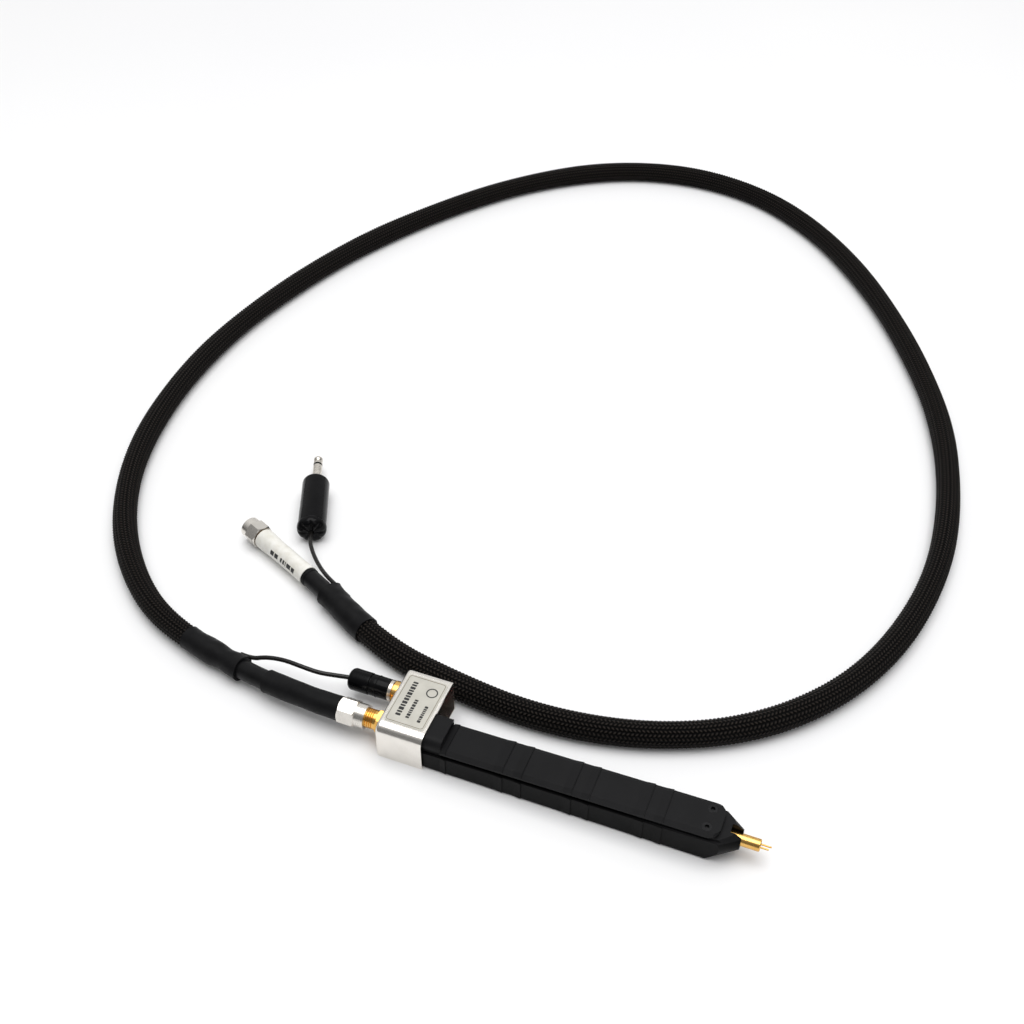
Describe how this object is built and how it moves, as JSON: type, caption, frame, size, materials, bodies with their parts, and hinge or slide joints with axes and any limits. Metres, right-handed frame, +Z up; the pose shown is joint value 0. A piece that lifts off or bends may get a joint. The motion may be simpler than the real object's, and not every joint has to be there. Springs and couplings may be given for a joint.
{
  "type": "oscilloscope probe",
  "caption": "Hand-held signal probe with a slim black handle, sprung needle tip, metal connector housing and a long braided cable that ends in a coaxial plug and a small phone plug.",
  "frame": {"origin": "bottom centre of the probe's own bounding box, without its cable", "axes": "+X along the handle towards the tip, +Z up, +Y to the side of the housing that stands out beyond the handle"},
  "size_m": [0.319, 0.3944, 0.0136],
  "materials": {
    "handle_plastic": "satin moulded black plastic with a fine spark texture",
    "nickel_sheet": "bright nickel-plated sheet",
    "gold_plate": "gold-plated turned brass",
    "nut_steel": "turned steel, lightly passivated",
    "screw_black": "black oxide socket screws",
    "screw_steel": "plain steel screws",
    "spring_steel": "bright spring wire",
    "insulator": "natural white PTFE",
    "switch_case": "black switch case",
    "label_print": "printed metal foil plate with a dark border",
    "coax_jacket": "smooth dark cable jacket",
    "lead_jacket": "thin black insulated lead",
    "line_jacket": "bare copper-tin sheath of the inner line",
    "copper": "silvered copper conductor",
    "wire_jacket": "thin insulated hook-up wire",
    "heat_shrink": "black heat-shrunk sleeve",
    "braid": "black braided monofilament sleeve",
    "marker_white": "white marker sleeve with plain bars",
    "plug_plastic": "glossy black moulded plastic",
    "plug_nickel": "nickel-plated plug contacts"
  },
  "bodies": {
    "root": {"handle_body": "handle_plastic", "handle_cover": "handle_plastic", "front_screws": "screw_black", "connector_housing": "nickel_sheet", "base_plate": "nickel_sheet", "base_screws": "screw_steel", "label_plate": "label_print", "rf_jack": "gold_plate", "rf_jack_nut": "gold_plate", "rf_jack_insulator": "insulator", "rf_jack_contact": "gold_plate", "line_conductor": "copper", "signal_line": "line_jacket", "control_jack": "gold_plate", "control_jack_nut": "gold_plate", "control_jack_insulator": "insulator", "control_jack_pin": "gold_plate", "micro_switch": "switch_case", "switch_terminals": "gold_plate", "switch_wires": "wire_jacket", "tip_spring": "spring_steel", "near_plug_body": "gold_plate", "near_plug_insulator": "insulator", "near_plug_pin": "gold_plate", "control_plug_boot": "plug_plastic", "control_plug_shell": "plug_nickel", "near_coax": "coax_jacket", "braided_sleeve": "braid", "far_coax": "coax_jacket", "near_lead": "lead_jacket", "far_lead": "lead_jacket", "heat_shrink_1": "heat_shrink", "heat_shrink_2": "heat_shrink", "heat_shrink_3": "heat_shrink", "marker_sleeve": "marker_white", "marker_collar": "heat_shrink", "far_plug_body": "gold_plate", "far_plug_insulator": "insulator", "far_plug_pin": "gold_plate", "phone_plug_cap": "plug_plastic", "phone_plug_barrel": "plug_plastic", "phone_plug_sleeve": "plug_nickel", "phone_plug_ring": "plug_plastic", "phone_plug_tip": "plug_nickel"},
    "tip": {"tip_barrel": "gold_plate", "tip_insulator": "insulator", "signal_pin": "gold_plate", "switch_pusher": "insulator", "ground_pin_spring": "spring_steel"},
    "ground_contact": {"ground_pin": "gold_plate"},
    "switch_plunger": {"switch_button": "insulator"},
    "near_nut": {"near_coupling_nut": "nut_steel"},
    "far_nut": {"far_coupling_nut": "nut_steel"}
  },
  "joints": [
    {"name": "tip_slide", "type": "slide", "parent": "root", "child": "tip", "axis": [-1, 0, 0], "range_m": [0, 0.0015], "stiffness_N_per_m": 400, "deforming": ["tip_spring"]},
    {"name": "ground_pin_slide", "type": "slide", "parent": "tip", "child": "ground_contact", "axis": [-1, 0, 0], "range_m": [0, 0.0006], "stiffness_N_per_m": 100, "deforming": ["ground_pin_spring"]},
    {"name": "switch_press", "type": "slide", "parent": "root", "child": "switch_plunger", "axis": [-1, 0, 0], "range_m": [0, 0.0015]},
    {"name": "near_nut_spin", "type": "hinge", "parent": "root", "child": "near_nut", "pos_m": [-0.067, -0.006, 0.0076], "axis": [1, 0, 0], "continuous": true},
    {"name": "far_nut_spin", "type": "hinge", "parent": "root", "child": "far_nut", "pos_m": [-0.1339, 0.0562, 0.0046], "axis": [-0.9063, 0.4226, 0], "continuous": true}
  ],
  "couplings": [
    {"joint": "switch_press", "follows": "tip_slide", "ratio": 1}
  ]
}
